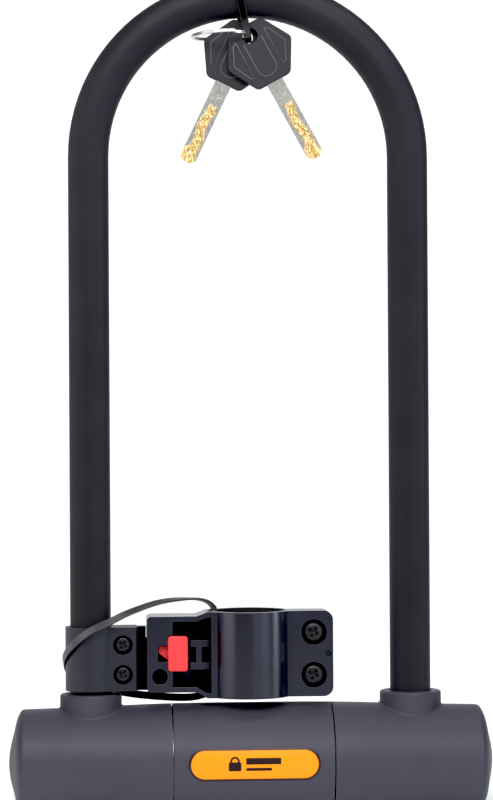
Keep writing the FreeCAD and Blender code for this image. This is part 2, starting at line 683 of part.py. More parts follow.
spring_r = 1.45
spring_wire = 0.22
spring_len = 8.0
helix = Part.makeHelix((spring_len - 2 * spring_wire) / 6.0, spring_len - 2 * spring_wire, spring_r)
profile = Part.Wire([Part.Circle(V(spring_r, 0, 0), V(0, 1, 0), spring_wire).toShape()])
coil = Part.Wire(helix).makePipeShell([profile], True, True)
coil.rotate(V(0, 0, 0), Y_AXIS, 90)
coil.translate(V(-28.8 + spring_wire, -4.2, zc + 40.6))
save("button_spring", coil)


# ---------------------------------------------------------------- tie round collar and bracket
strap_w = 3.0
strap_t = 1.1
strap_path = [
    (-15.0, 13.4, 41.0), (-15.6, 13.2, 49.0), (-17.4, 12.2, 55.6), (-23.0, 7.0, 58.9),
    (-33.7, -0.5, 57.6), (-44.9, -8.0, 54.9), (-52.0, -11.2, 52.2), (-60.0, -11.6, 48.6),
    (-67.2, -8.4, 42.5), (-70.5, -0.6, 37.0), (-67.4, 8.0, 31.9), (-59.7, 11.8, 28.6),
    (-47.8, 12.4, 23.6), (-32.0, 12.9, 20.7), (-20.0, 13.2, 20.6), (-15.6, 13.4, 25.0),
    (-15.0, 13.4, 34.0),
]


def strap():
    """Flat band lofted along the path, its wide face turned away from the middle of the loop."""
    curve = Part.BSplineCurve()
    curve.interpolate([V(x, y, zc + h) for x, y, h in strap_path])
    middle = V(-45.0, 1.0, zc + 40.0)
    sections = []
    count = 48
    for i in range(count + 1):
        t = curve.FirstParameter + (curve.LastParameter - curve.FirstParameter) * i / count
        p = curve.value(t)
        tangent = V(*curve.tangent(t)[0])
        out = p - middle
        out = V(out.x * 0.35, out.y, out.z * 0.12)
        out = (out - tangent * (out * tangent)).normalize()
        side = tangent.cross(out)
        a = out * (strap_t / 2)
        b = side * (strap_w / 2)
        sections.append(Part.makePolygon([p + a + b, p + a - b, p - a - b, p - a + b, p + a + b]))
    return Part.makeLoft(sections, True, True)


band = strap()
save("bracket_tie", band)
lock_head = hbox(-17.3, -12.7, 12.4, 15.4, 34.0, 41.0)
lock_head = round_edges(lock_head, 0.6, lambda e: along(e, Z_AXIS))
save("bracket_tie_head", lock_head.cut(band))
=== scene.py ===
"""Looks of the keyed U lock: materials, moulded detail, straps, keys, light and camera."""
import json
import math

import bmesh
import bpy
from mathutils import Matrix, Vector


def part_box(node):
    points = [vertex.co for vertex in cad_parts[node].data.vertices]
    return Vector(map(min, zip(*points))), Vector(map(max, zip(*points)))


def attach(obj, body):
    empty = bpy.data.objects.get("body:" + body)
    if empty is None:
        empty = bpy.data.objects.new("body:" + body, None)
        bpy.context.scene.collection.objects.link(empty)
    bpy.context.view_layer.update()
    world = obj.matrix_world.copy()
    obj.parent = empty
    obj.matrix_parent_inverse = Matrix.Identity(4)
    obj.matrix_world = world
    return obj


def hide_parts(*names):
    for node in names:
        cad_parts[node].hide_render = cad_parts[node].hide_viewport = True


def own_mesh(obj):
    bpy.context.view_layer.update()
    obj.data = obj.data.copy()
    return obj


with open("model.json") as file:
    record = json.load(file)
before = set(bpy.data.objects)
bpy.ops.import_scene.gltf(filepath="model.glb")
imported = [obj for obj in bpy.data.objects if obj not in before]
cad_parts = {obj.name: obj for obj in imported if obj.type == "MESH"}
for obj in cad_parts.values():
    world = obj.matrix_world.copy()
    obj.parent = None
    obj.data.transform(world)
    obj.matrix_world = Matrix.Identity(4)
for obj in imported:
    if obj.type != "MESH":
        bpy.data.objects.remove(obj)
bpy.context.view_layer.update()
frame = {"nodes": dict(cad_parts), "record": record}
NODES = frame["nodes"]

# ------------------------------------------------------------------ sizes, in metres
MM = 0.001
ZC = 19.5 * MM                      # crossbar axis above the land
KEY_THICK = 2.8 * MM
BOW_OFFSET = 7.4 * MM               # key hole to the middle of the bow
BOW_FLAT = 23.6 * MM                # six-sided bow, from flat to flat
KEY_TILT = {"key_1": 28.8, "key_2": -25.6}      # degrees each key hangs off plumb
BADGE_R = 21.35 * MM                # badge face, about the crossbar axis
BADGE_UP = 0.9 * MM                 # middle of the badge above the crossbar axis
RING_R = 10.4 * MM                  # middle line of the split ring's wire
COVERS = ("cover_left", "cover_centre", "cover_right")


def joint(name):
    """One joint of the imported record."""
    return next(j for j in frame["record"]["behaviour"]["joints"] if j["name"] == name)


# ------------------------------------------------------------------ materials
class Nodes:
    """Small helper round a material's node tree."""

    def __init__(self, name):
        self.mat = bpy.data.materials.new(name)
        self.mat.use_nodes = True
        self.tree = self.mat.node_tree
        self.bsdf = self.tree.nodes["Principled BSDF"]
        self.coord = self.tree.nodes.new("ShaderNodeTexCoord")

    def add(self, kind, **values):
        node = self.tree.nodes.new(kind)
        for key, value in values.items():
            setattr(node, key, value)
        return node

    def link(self, a, b):
        self.tree.links.new(a, b)

    def set(self, **values):
        for key, value in values.items():
            self.bsdf.inputs[key.replace("_", " ")].default_value = value

    def mapped(self, scale=(1, 1, 1), rotation=(0, 0, 0), place=(0, 0, 0), kind="POINT"):
        node = self.add("ShaderNodeMapping", vector_type=kind)
        node.inputs["Location"].default_value = place
        node.inputs["Rotation"].default_value = rotation
        node.inputs["Scale"].default_value = scale
        self.link(self.coord.outputs["Object"], node.inputs["Vector"])
        return node.outputs["Vector"]

    def noise(self, scale, detail=3.0, rough=0.55, vector=None):
        node = self.add("ShaderNodeTexNoise")
        node.inputs["Scale"].default_value = scale
        node.inputs["Detail"].default_value = detail
        node.inputs["Roughness"].default_value = rough
        self.link(vector or self.coord.outputs["Object"], node.inputs["Vector"])
        return node.outputs["Fac"]

    def ramp(self, source, stops):
        node = self.add("ShaderNodeValToRGB")
        ramp = node.color_ramp
        while len(ramp.elements) < len(stops):
            ramp.elements.new(0.5)
        for element, (position, colour) in zip(ramp.elements, stops):
            element.position = position
            element.color = (*colour, 1.0)
        self.link(source, node.inputs["Fac"])
        return node.outputs["Color"]

    def span(self, source, low, high, start=0.0, stop=1.0):
        """Maps start..stop to low..high, held at both ends."""
        node = self.add("ShaderNodeMapRange")
        node.inputs["From Min"].default_value = start
        node.inputs["From Max"].default_value = stop
        node.inputs["To Min"].default_value = low
        node.inputs["To Max"].default_value = high
        self.link(source, node.inputs["Value"])
        return node.outputs["Result"]

    def math(self, operation, a, b=None):
        node = self.add("ShaderNodeMath", operation=operation)
        for socket, value in zip(node.inputs, (a, b)):
            if value is None:
                continue
            if isinstance(value, (int, float)):
                socket.default_value = value
            else:
                self.link(value, socket)
        return node.outputs["Value"]

    def mix(self, factor, a, b):
        """Colour mix; a and b are colours or sockets."""
        node = self.add("ShaderNodeMixRGB")
        if isinstance(factor, (int, float)):
            node.inputs["Fac"].default_value = factor
        else:
            self.link(factor, node.inputs["Fac"])
        for socket, value in ((node.inputs["Color1"], a), (node.inputs["Color2"], b)):
            if isinstance(value, tuple):
                socket.default_value = (*value, 1.0)
            else:
                self.link(value, socket)
        return node.outputs["Color"]

    def edges(self, radius):
        """Rounded normal for sharp edges, and a mask that is 1 on them."""
        bevel = self.add("ShaderNodeBevel", samples=6)
        bevel.inputs["Radius"].default_value = radius
        shape = self.add("ShaderNodeNewGeometry")
        dot = self.add("ShaderNodeVectorMath", operation="DOT_PRODUCT")
        self.link(bevel.outputs["Normal"], dot.inputs[0])
        self.link(shape.outputs["Normal"], dot.inputs[1])
        mask = self.span(dot.outputs["Value"], 1.0, 0.0, 0.80, 0.985)
        return bevel.outputs["Normal"], mask

    def recess_shade(self, reach):
        """Painted shade: a mask, from ambient occlusion, that is 1 deep inside the piece's own
        recesses and 0 on its open faces.
        """
        shade = self.add("ShaderNodeAmbientOcclusion", samples=12, only_local=True)
        shade.inputs["Distance"].default_value = reach
        return self.span(shade.outputs["AO"], 1.0, 0.0, 0.40, 0.82)

    def bump(self, layers, base=None):
        """Chain of (height source, strength, distance in metres) over a base normal."""
        last = base
        for source, strength, distance in layers:
            node = self.add("ShaderNodeBump")
            node.inputs["Strength"].default_value = strength
            node.inputs["Distance"].default_value = distance
            self.link(source, node.inputs["Height"])
            if last is not None:
                self.link(last, node.inputs["Normal"])
            last = node.outputs["Normal"]
        self.link(last, self.bsdf.inputs["Normal"])


def tone(colour, k):
    """The colour made k times as light."""
    return tuple(min(1.0, c * k) for c in colour)


def plastic(name, colour, rough, grain, depth, spread, specular, edge=0.0, edge_wear_and_highlight_tone=1.6,
            scuffs=0.0, haze=0.0, recess=0.0, shade_past_x=None, tint=(1.0, 1.0, 1.0)):
    """Moulded plastic or rubber: slow colour drift, spark grain, scuffs, edges lightened as wear
    and as a painted highlight, and painted shade in hollows.

    grain is the size of the spark texture in mm and depth is its strength; spread is how far
    the colour drifts; edge is the wear radius in mm and edge_wear_and_highlight_tone how light
    the edges get, as wear and as a painted highlight; haze is how strongly handling marks cloud
    it; recess is how far, in mm, a hollow reaches before painted shade turns it black;
    shade_past_x is an x beyond which the moulding is painted black as shadow; tint colours its
    reflections.
    """
    scuff_tone = 5.0
    haze_tone = 3.2
    # black is the colour painted into shaded hollows and shadowed places.
    black = (0.0006, 0.0006, 0.0008)
    n = Nodes(name)
    drift = n.noise(55.0, 4.0)
    paint = n.ramp(drift, [(0.25, tone(colour, 1 - spread)), (0.75, tone(colour, 1 + spread))])
    patches = n.noise(210.0, 5.0, 0.7)
    if scuffs:
        streaks = n.noise(420.0, 6.0, 0.75, n.mapped((1.0, 1.0, 0.35), (0.0, 0.6, 0.0)))
        worn = n.span(streaks, 0.0, scuffs, 0.60, 0.72)
        paint = n.mix(worn, paint, tone(colour, scuff_tone))
    if haze:
        cloud = n.span(n.noise(75.0, 5.0, 0.65), 0.0, haze, 0.52, 0.74)
        paint = n.mix(cloud, paint, tone(colour, haze_tone))
    normal = None
    if edge:
        normal, mask = n.edges(edge * MM)
        # Edges lightened by edge_wear_and_highlight_tone, in patches: partly wear, partly a
        # painted highlight for chamfers catching light.
        worn_and_highlit = n.math("MULTIPLY", mask, n.span(patches, 0.45, 1.0, 0.35, 0.65))
        paint = n.mix(worn_and_highlit, paint, tone(colour, edge_wear_and_highlight_tone))
    dark = n.recess_shade(recess * MM) if recess else None
    # Painted shadow: past the x shade_past_x, the collar's rail sits in the gap beside the
    # bracket and is painted black as its shadow.
    if shade_past_x is not None:
        split = n.add("ShaderNodeSeparateXYZ")
        n.link(n.mapped(), split.inputs["Vector"])
        past = n.span(split.outputs["X"], 0.0, 1.0, shade_past_x, shade_past_x + 0.2 * MM)
        dark = past if dark is None else n.math("MAXIMUM", dark, past)
    # Painted shade: where the mask is 1 the colour goes black, and Metallic 1 takes its
    # reflections away too.
    if dark is not None:
        paint = n.mix(dark, paint, black)
        n.link(dark, n.bsdf.inputs["Metallic"])
    n.link(paint, n.bsdf.inputs["Base Color"])
    n.link(n.span(patches, rough - 0.07, rough + 0.09), n.bsdf.inputs["Roughness"])
    n.set(Specular_IOR_Level=specular, Specular_Tint=(*tint, 1.0))
    fine = n.noise(900.0 / grain, 2.0, 0.6)
    slow = n.noise(120.0, 2.0, 0.5)
    n.bump([(fine, depth, 0.00004), (slow, 0.12, 0.00015)], normal)
    return n.mat


def metal(name, colour, rough, scratch, stretch=(1, 1, 1), depth=0.12, spread=0.12,
          metallic=1.0, edge=0.0, edge_wear_and_highlight_tone=1.0):
    """Machined or plated metal with drawn scratches, fine ones for a large scratch number."""
    n = Nodes(name)
    lines = n.noise(scratch, 4.0, 0.6, n.mapped(stretch))
    cloud = n.noise(140.0, 4.0)
    slow = n.ramp(cloud, [(0.3, tone(colour, 1 - spread)), (0.7, tone(colour, 1 + spread))])
    fast = n.ramp(lines, [(0.35, tone(colour, 1 - spread)), (0.65, tone(colour, 1 + spread))])
    paint = n.mix(0.45, slow, fast)
    normal = None
    if edge:
        normal, mask = n.edges(edge * MM)
        # Edges lightened by edge_wear_and_highlight_tone: partly wear, partly a painted highlight
        # for edges catching light.
        paint = n.mix(mask, paint, tone(colour, edge_wear_and_highlight_tone))
    n.link(paint, n.bsdf.inputs["Base Color"])
    n.link(n.span(lines, rough - 0.08, rough + 0.12), n.bsdf.inputs["Roughness"])
    n.set(Metallic=metallic)
    n.bump([(lines, depth, 0.00003)], normal)
    return n.mat


def blade_metal(name, key):
    """Nickel-plated blade with a wavy milled track of bare brass down its lower part."""
    wave_height = 0.5 * MM
    wave_length = 13.0 * MM
    wave_start = 17.0 * MM
    n = Nodes(name)
    local = n.mapped(place=joint(key + "_swing")["pos_m"],
                     rotation=(0, math.radians(-KEY_TILT[key]), 0), kind="TEXTURE")
    split = n.add("ShaderNodeSeparateXYZ")
    n.link(local, split.inputs["Vector"])
    blade_top = BOW_OFFSET + BOW_FLAT / 2
    down = n.math("SUBTRACT", n.math("MULTIPLY", split.outputs["Z"], -1.0), blade_top)
    jitter = n.span(n.noise(700.0, 3.0, 0.7, local), -0.5 * MM, 0.5 * MM, 0.3, 0.7)

    # the track: a ragged wave that widens near the blade's tip
    turn = n.math("MULTIPLY", n.math("SUBTRACT", down, wave_start), 2 * math.pi / wave_length)
    wave = n.math("MULTIPLY", n.math("COSINE", turn), -wave_height)
    across = n.math("ADD", split.outputs["X"], jitter)
    off = n.math("ABSOLUTE", n.math("SUBTRACT", across, wave))
    reach = n.span(down, 1.7 * MM, 3.2 * MM, 26.0 * MM, 31.0 * MM)
    inside = n.span(n.math("SUBTRACT", off, reach), 1.0, 0.0, -0.35 * MM, 0.35 * MM)
    begun = n.span(n.math("ADD", down, jitter), 0.0, 1.0, 8.6 * MM, 10.4 * MM)
    mask = n.math("MULTIPLY", inside, begun)

    # bare brass with cutter marks in the track, nickel with drawn lines beside it
    cuts = n.noise(1500.0, 3.0, 0.8, n.mapped((1.0, 1.0, 0.45), (0.0, 0.5, 0.0)))
    brass = n.ramp(cuts, [(0.30, (0.15, 0.085, 0.025)), (0.46, (0.42, 0.26, 0.085)),
                          (0.56, (0.72, 0.52, 0.22)), (0.66, (1.0, 0.86, 0.55))])
    lines = n.noise(2400.0, 4.0, 0.6, n.mapped((1, 1, 0.2)))
    nickel = n.ramp(lines, [(0.35, (0.17, 0.165, 0.155)), (0.65, (0.30, 0.29, 0.265))])

    # faint specks in a short band above the track
    specks = n.span(n.noise(1100.0, 1.0, 0.5, local), 0.0, 1.0, 0.54, 0.66)
    below_top = n.span(down, 0.0, 1.0, 3.6 * MM, 4.2 * MM)
    above_track = n.span(down, 1.0, 0.0, 7.6 * MM, 8.4 * MM)
    etched = n.math("MULTIPLY", specks, n.math("MULTIPLY", below_top, above_track))
    plated = n.mix(n.math("MULTIPLY", etched, 0.6), nickel, (0.44, 0.43, 0.41))

    n.link(n.mix(mask, plated, brass), n.bsdf.inputs["Base Color"])
    n.link(n.span(cuts, 0.30, 0.52), n.bsdf.inputs["Roughness"])
    n.set(Metallic=0.65)
    n.bump([(lines, 0.2, 0.00003), (n.math("MULTIPLY", cuts, mask), 0.9, 0.00018)])
    return n.mat


def clad(material, *names):
    """Puts one material on carried-over CAD nodes."""
    for name in names:
        mesh = NODES[name].data
        mesh.materials.clear()
        mesh.materials.append(material)


SOFT = plastic("soft_touch_cover", (0.0615, 0.0600, 0.0825), rough=0.50, grain=0.30, depth=0.30,
               spread=0.08, specular=0.35, edge=0.3, tint=(0.95, 0.94, 1.0))
VINYL = plastic("vinyl_coating", (0.0156, 0.0151, 0.0196), rough=0.48, grain=0.50, depth=0.20,
                spread=0.12, specular=0.15)
# NYLON's hollows, up to 9 mm deep, are painted black as shade.
NYLON = plastic("bracket_nylon", (0.0026, 0.0036, 0.0080), rough=0.21, grain=0.60, depth=0.04,
                spread=0.3, specular=0.66, edge=0.35, edge_wear_and_highlight_tone=7.0, scuffs=0.40, haze=0.7,
                recess=9.0, tint=(0.87, 0.85, 1.0))
# COLLAR's hollows are painted black as shade, and so is its rail past shade_past_x, as shadow in
# the gap beside the bracket.
COLLAR = plastic("collar_nylon", (0.017, 0.017, 0.022), rough=0.44, grain=0.30, depth=0.40,
                 spread=0.15, specular=0.40, edge=0.3, edge_wear_and_highlight_tone=2.4, recess=3.0,
                 shade_past_x=-42.1 * MM, tint=(0.84, 0.83, 1.0))
TIE = plastic("tie_nylon", (0.024, 0.024, 0.027), rough=0.33, grain=0.70, depth=0.08,
              spread=0.2, specular=0.6, edge=0.25, edge_wear_and_highlight_tone=7.0)
KEY_TIE = plastic("key_tie_nylon", (0.0035, 0.0035, 0.0040), rough=0.12, grain=0.70, depth=0.05,
                  spread=0.2, specular=0.6, edge=0.2, edge_wear_and_highlight_tone=9.0)
RED = plastic("red_button", (0.70, 0.042, 0.045), rough=0.36, grain=0.60, depth=0.10,
              spread=0.06, specular=0.4, edge=0.3, edge_wear_and_highlight_tone=1.3)
ORANGE = plastic("badge_face", (0.92, 0.275, 0.008), rough=0.34, grain=0.40, depth=0.10,
                 spread=0.05, specular=0.3)
RIM = plastic("badge_rim", (0.024, 0.004, 0.003), rough=0.30, grain=0.60, depth=0.10,
              spread=0.2, specular=0.5)
MARK = plastic("badge_mark", (0.016, 0.006, 0.005), rough=0.45, grain=0.50, depth=0.10,
               spread=0.1, specular=0.3)
BOW = plastic("key_bow", (0.0115, 0.0115, 0.0150), rough=0.52, grain=0.22, depth=0.50,
              spread=0.12, specular=0.35, edge=0.3, edge_wear_and_highlight_tone=3.0)
RIDGE = plastic("key_bow_ridge", (0.078, 0.078, 0.090), rough=0.48, grain=0.30, depth=0.30,
                spread=0.35, specular=0.4)
RUBBER = plastic("pad_rubber", (0.010, 0.010, 0.011), rough=0.70, grain=0.40, depth=0.40,
                 spread=0.2, specular=0.3)
STEEL = metal("plated_steel", (0.50, 0.50, 0.52), rough=0.33, scratch=1600.0,
              stretch=(0.12, 1, 1))
HARD = metal("hardened_steel", (0.40, 0.40, 0.43), rough=0.28, scratch=1500.0,
             stretch=(1, 1, 0.15))
BRASS = metal("machined_brass", (0.72, 0.53, 0.25), rough=0.30, scratch=1400.0,
              stretch=(1, 1, 6))
SCREW = metal("black_oxide_screw", (0.030, 0.030, 0.032), rough=0.34, scratch=1700.0,
              depth=0.35, spread=0.40, metallic=0.8, edge=0.18, edge_wear_and_highlight_tone=9.0)
SPRING = metal("oiled_spring", (0.020, 0.020, 0.022), rough=0.40, scratch=1600.0)
RING = metal("nickel_ring", (0.56, 0.53, 0.52), rough=0.24, scratch=1800.0, stretch=(1, 1, 8),
             depth=0.10, spread=0.30, metallic=0.9)

clad(SOFT, *COVERS)
clad(VINYL, "shackle_coating")
clad(NYLON, "bracket_front", "bracket_rear", "keyhole_plate", "dust_cover", "rail_catch")
clad(COLLAR, "collar_front", "collar_rear")
clad(RED, "release_button")
clad(ORANGE, "badge_plate")
clad(RIM, "badge_rim")
clad(BOW, "key_1_bow", "key_2_bow")
clad(RUBBER, "shackle_seal_left", "shackle_seal_right", "collar_liner", "clamp_pad_front",
     "clamp_pad_rear")
clad(STEEL, "crossbar_tube", "end_plug_left", "end_plug_right", "cylinder_clip")
clad(HARD, "bolt_guide_left", "bolt_guide_right", "right_bolt", "left_bolt", "shackle_core")
clad(BRASS, "cylinder_housing", "lock_plug", "wafers")
clad(SCREW, "collar_nut_lower", "collar_nut_upper", "clamp_nut_lower", "clamp_nut_upper")
for key in KEY_TILT:
    clad(blade_metal(key + "_blade_metal", key), key + "_blade")


# ------------------------------------------------------------------ mesh helpers
def piece(name, mesh, body, slot, material, *replaced):
    """Links a mesh as a piece that rides a body, with its finish and what it stands for."""
    obj = bpy.data.objects.new(name, mesh)
    bpy.context.scene.collection.objects.link(obj)
    mesh.materials.clear()
    mesh.materials.append(material)
    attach(obj, body)
    if replaced:
        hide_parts(*replaced)
    return obj


def finish_mesh(name, bm, angle=40.0):
    """Mesh with outward normals, smooth but for edges sharper than the angle."""
    bmesh.ops.recalc_face_normals(bm, faces=bm.faces)
    for face in bm.faces:
        face.smooth = True
    limit = math.radians(angle)
    for edge in bm.edges:
        if len(edge.link_faces) == 2 and edge.calc_face_angle(0.0) > limit:
            edge.smooth = False
    mesh = bpy.data.meshes.new(name)
    bm.to_mesh(mesh)
    bm.free()
    return mesh


def catmull(points, per_span, closed=False):
    """Points along a smooth curve through the given ones."""
    points = [Vector(p) for p in points]
    count = len(points)
    out = []
    for i in range(count if closed else count - 1):
        if closed:
            a, b, c, d = [points[(i + k - 1) % count] for k in range(4)]
        else:
            a, b = points[max(i - 1, 0)], points[i]
            c, d = points[i + 1], points[min(i + 2, count - 1)]
        for step in range(per_span):
            t = step / per_span
            out.append(0.5 * ((2 * b) + (c - a) * t + (2 * a - 5 * b + 4 * c - d) * t * t
                              + (3 * b - a - 3 * c + d) * t ** 3))
    if not closed:
        out.append(points[-1])
    return out


def even(points, spacing, closed=False):
    """The same line with points a fixed distance apart."""
    line = points + [points[0]] if closed else points
    lengths = [0.0]
    for a, b in zip(line[:-1], line[1:]):
        lengths.append(lengths[-1] + (b - a).length)
    count = max(2, int(round(lengths[-1] / spacing)))
    out = []
    k = 0
    for i in range(count if closed else count + 1):
        want = lengths[-1] * i / count
        while k < len(lengths) - 2 and lengths[k + 1] < want:
            k += 1
        part = (want - lengths[k]) / max(lengths[k + 1] - lengths[k], 1e-9)
        out.append(line[k].lerp(line[k + 1], part))
    return out


def sweep(bm, line, outward, profile, closed=False):
    """Carries a closed (across, out) profile along a line; profile is a function of the index."""
    rings = []
    count = len(line)
    for i, p in enumerate(line):
        ahead = line[(i + 1) % count] if closed or i + 1 < count else p
        behind = line[i - 1] if closed or i > 0 else p
        tangent = (ahead - behind).normalized()
        out = outward(i, p)
        out = (out - tangent * out.dot(tangent)).normalized()
        across = tangent.cross(out)
        rings.append([bm.verts.new(p + across * u + out * v) for u, v in profile(i)])
    pairs = list(zip(rings[:-1], rings[1:]))
    if closed:
        pairs.append((rings[-1], rings[0]))
    size = len(rings[0])
    for low, high in pairs:
        for k in range(size):
            bm.faces.new((low[k], low[(k + 1) % size], high[(k + 1) % size], high[k]))
    if not closed:
        bm.faces.new(rings[0])
        bm.faces.new(list(reversed(rings[-1])))


def band_profile(width, thick, tooth):
    """Band with softened corners; its inner face has a tooth every second section."""
    w = width / 2
    t = thick / 2
    soft = thick * 0.28

    def profile(i):
        inner = -t + (tooth if i % 2 else 0.0)
        return [(-w, inner + soft), (-w, t - soft), (-w + soft, t), (w - soft, t),
                (w, t - soft), (w, inner + soft), (w - soft, inner), (-w + soft, inner)]
    return profile


def tie_head(bm, middle, run, out, size):
    """Lock head of a cable tie: a softened block with a raised bar and an end lip."""
    across = run.cross(out).normalized()
    turn = Matrix((across, run, out)).transposed().to_4x4()
    place = Matrix.Translation(middle) @ turn
    wide, long, tall = size
    block = ((0, 0, 0), (wide, long, tall), 0.45 * MM)
    bar = ((0, -long * 0.12, tall * 0.5), (wide * 0.5, long * 0.35, tall * 0.18), 0.12 * MM)
    lip = ((0, long * 0.5, tall * 0.12), (wide * 0.55, long * 0.12, tall * 0.3), 0.10 * MM)
    for centre, dims, soft in (block, bar, lip):
        verts = bmesh.ops.create_cube(bm, size=1.0)["verts"]
        shape = place @ Matrix.Translation(centre) @ Matrix.Diagonal((*dims, 1.0))
        bmesh.ops.transform(bm, matrix=shape, verts=verts)
        edges = {e for v in verts for e in v.link_edges}
        bmesh.ops.bevel(bm, geom=list(edges), offset=soft, segments=3, affect="EDGES",
                        profile=0.6)


# ------------------------------------------------------------------ cable ties
def axis_point(x, y, h):
    """Point from millimetres, with its height measured from the crossbar axis."""
    return Vector((x * MM, y * MM, ZC + h * MM))


def bracket_strap():
    """Thin cable tie round collar and bracket, its lock head behind the bracket."""
    section = 0.55 * MM
    tooth = 0.18 * MM
    route = [(-11.8, 14.5, 38.0), (-12.0, 14.4, 49.0), (-13.6, 12.6, 56.4), (-20.0, 7.6, 59.6),
             (-33.0, -0.6, 59.3), (-44.9, -7.6, 56.0), (-52.0, -10.6, 52.9), (-60.0, -11.3, 49.2),
             (-66.6, -8.2, 43.6), (-69.5, -0.6, 37.6), (-66.9, 8.0, 31.9), (-59.7, 11.8, 28.6),
             (-47.8, 12.4, 24.6), (-32.0, 13.0, 22.6), (-20.0, 13.8, 22.5), (-13.0, 14.4, 26.0),
             (-11.8, 14.5, 34.0)]
    line = even(catmull([axis_point(*p) for p in route], 16), section)
    middle = axis_point(-45.0, 1.0, 40.0)

    def outward(i, p):
        """Away from the loop's middle, and less tilted behind the lock than before it."""
        away = p - middle
        rise = 0.45 - 0.2 * math.tanh(p.y / (6 * MM))
        return Vector((away.x * 0.35, away.y, away.z * rise))

    bm = bmesh.new()
    sweep(bm, line, outward, band_profile(2.9 * MM, 0.95 * MM, tooth))
    piece("bracket_strap", finish_mesh("bracket_strap", bm), "bracket", "tie_nylon", TIE,
          "bracket_tie")

    bm = bmesh.new()
    tie_head(bm, axis_point(-11.9, 14.9, 36.6), Vector((0, 0, 1)),
             Vector((0.35, 0.94, 0)).normalized(), (4.4 * MM, 4.8 * MM, 3.2 * MM))
    tail = catmull([axis_point(-11.9, 16.2, 38.6), axis_point(-12.1, 16.6, 40.6),
                    axis_point(-12.6, 17.3, 42.6)], 6)
    sweep(bm, even(tail, section), lambda i, p: Vector((0.3, 1, 0)),
          band_profile(2.5 * MM, 0.9 * MM, tooth))
    piece("bracket_strap_head", finish_mesh("bracket_strap_head", bm), "bracket", "tie_nylon",
          TIE, "bracket_tie_head")


def key_strap():
    """Cable tie over the arch and through both key holes, leaning in the lock's plane."""
    section = 0.5 * MM
    tooth = 0.16 * MM
    lean_degrees = 12.0
    foot_h = 268.2                  # about the key holes' height; the tie leans from there
    over_r = 8.3                    # middle of the band, over the coated bar
    over_h = 284.55                 # centre of that half circle
    over = [(-over_r * math.cos(a), over_h + over_r * math.sin(a)) for a in
            [math.radians(d) for d in range(0, 181, 20)]]
    below = [(8.1, 279.0), (6.6, 272.8), (4.4, 268.8), (0.6, 267.8), (-3.4, 267.9),
             (-6.0, 270.0), (-7.3, 274.2), (-8.1, 279.5)]
    foot = axis_point(0, 0, foot_h)
    lean = Matrix.Translation(foot) @ Matrix.Rotation(math.radians(-lean_degrees), 4, "Y")
    lean = lean @ Matrix.Translation(-foot)
    loop = [lean @ axis_point(0, y, h) for y, h in over + below]
    line = even(catmull(loop, 10, closed=True), section, closed=True)
    if len(line) % 2:               # teeth alternate, so a closed loop needs an even count
        line.pop()
    middle = lean @ axis_point(0, 0, 279.0)
    bm = bmesh.new()
    sweep(bm, line, lambda i, p: p - middle, band_profile(2.8 * MM, 0.95 * MM, tooth),
          closed=True)
    piece("key_strap", finish_mesh("key_strap", bm), "shackle", "tie_nylon", KEY_TIE, "key_tie")

    turned = lean.to_3x3()
    bm = bmesh.new()
    tie_head(bm, lean @ axis_point(0, 9.6, 283.0), turned @ Vector((0, 0, 1)),
             turned @ Vector((0, 1, 0)), (4.6 * MM, 4.6 * MM, 2.4 * MM))
    tail = catmull([lean @ axis_point(0, 10.4, 284.6), lean @ axis_point(0, 11.6, 285.8),
                    lean @ axis_point(0, 13.2, 286.2)], 6)
    up = turned @ Vector((0, -0.5, 1))
    sweep(bm, even(tail, section), lambda i, p: up, band_profile(2.7 * MM, 0.9 * MM, tooth))
    piece("key_strap_head", finish_mesh("key_strap_head", bm), "shackle", "tie_nylon", KEY_TIE,
          "key_tie_head")


# ------------------------------------------------------------------ keys and split ring
def key_ridges(key):
    """Raised beads along both faces of a key's moulded bow."""
    low = -BOW_OFFSET
    rail = [(-3.7, 5.6), (-3.7, -5.4), (-3.3, -7.2), (-2.2, -8.5), (0, -9.0)]
    rail = [(x * MM, low + z * MM) for x, z in rail]
    rail = rail + [(-x, z) for x, z in reversed(rail[:-1])]
    panel = [(6.0, 7.6), (6.0, -7.6), (7.6, -6.6), (10.8, 0), (7.6, 6.6), (6.0, 7.6)]
    panel = [(x * MM, low + z * MM) for x, z in panel]
    other = [(-x, z) for x, z in panel]
    place = Matrix.Translation(joint(key + "_swing")["pos_m"])
    place = place @ Matrix.Rotation(math.radians(-KEY_TILT[key]), 4, "Y")
    curve = bpy.data.curves.new(key + "_ridges", "CURVE")
    curve.dimensions = "3D"
    curve.bevel_depth = 0.24 * MM
    curve.bevel_resolution = 2
    curve.use_fill_caps = True
    for face in (-KEY_THICK / 2, KEY_THICK / 2):
        for points in (rail, panel, other):
            spline = curve.splines.new("POLY")
            spline.points.add(len(points) - 1)
            for point, (x, z) in zip(spline.points, points):
                point.co = (*(place @ Vector((x, face, z))), 1.0)
    holder = bpy.data.objects.new("ridge_curve", curve)
    mesh = bpy.data.meshes.new_from_object(holder)
    mesh.name = key + "_ridges"
    for polygon in mesh.polygons:
        polygon.use_smooth = True
    bpy.data.objects.remove(holder)
    piece(key + "_ridges", mesh, key, "key_bow", RIDGE)


